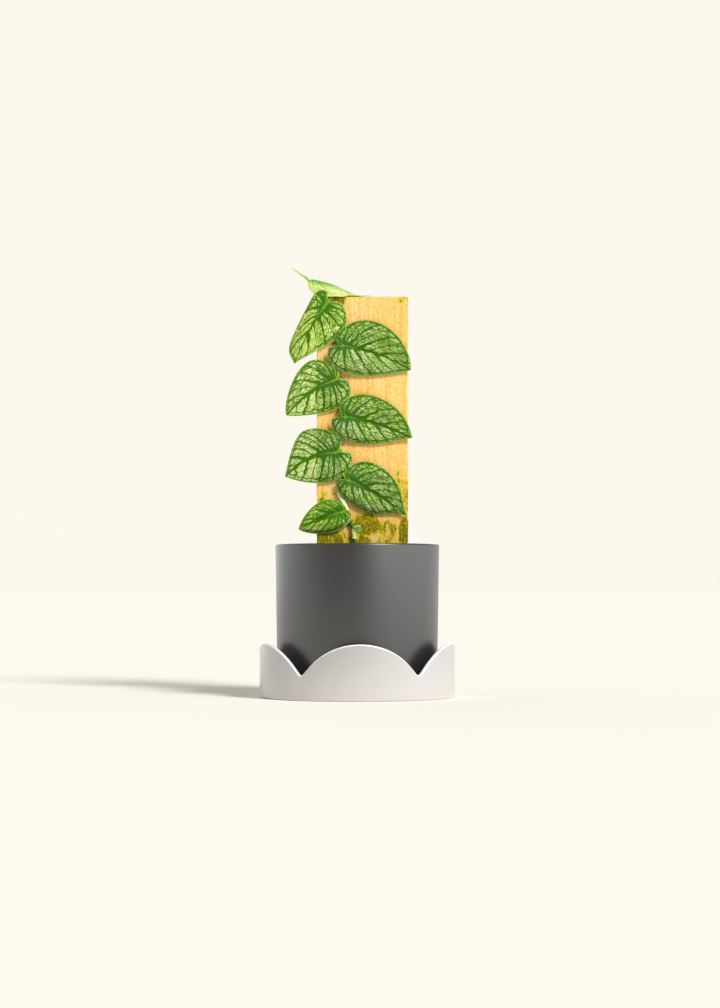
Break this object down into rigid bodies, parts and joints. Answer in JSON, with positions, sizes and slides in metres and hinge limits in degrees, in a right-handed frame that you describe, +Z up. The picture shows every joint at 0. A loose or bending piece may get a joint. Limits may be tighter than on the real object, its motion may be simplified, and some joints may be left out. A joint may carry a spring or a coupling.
{
  "type": "potted shingle plant",
  "caption": "Young shingle plant whose patterned heart-shaped leaves climb a flat timber board, in a plain round pot on a saucer with a scalloped wall.",
  "frame": {"origin": "middle of the saucer's underside, on the surface that it stands on", "axes": "+Z up; the board's planted face and the front scallop look towards -Y; +X is to the right of a viewer in front"},
  "size_m": [0.1879, 0.188, 0.4149],
  "materials": {
    "saucer": "satin off-white glaze",
    "pot": "smooth satin dark grey",
    "soil": "damp crumbly potting soil",
    "board": "raw sawn softwood with moss low down",
    "stem": "smooth green stem",
    "leaf": "satin leaf, dark green with silvery cells between the veins",
    "young_leaf": "pale new leaf, green along the veins",
    "rolled_leaf": "smooth yellow-green"
  },
  "bodies": {
    "root": {"saucer": "saucer", "pot": "pot", "soil": "soil", "board": "board", "vine_stem": "stem", "leaf_1": "leaf", "leaf_2": "leaf", "leaf_3": "leaf", "leaf_4": "leaf", "leaf_5": "leaf", "leaf_6": "leaf", "leaf_7": "leaf", "leaf_8": "young_leaf", "rolled_leaf": "rolled_leaf", "sprout_leaf": "leaf"}
  },
  "joints": []
}
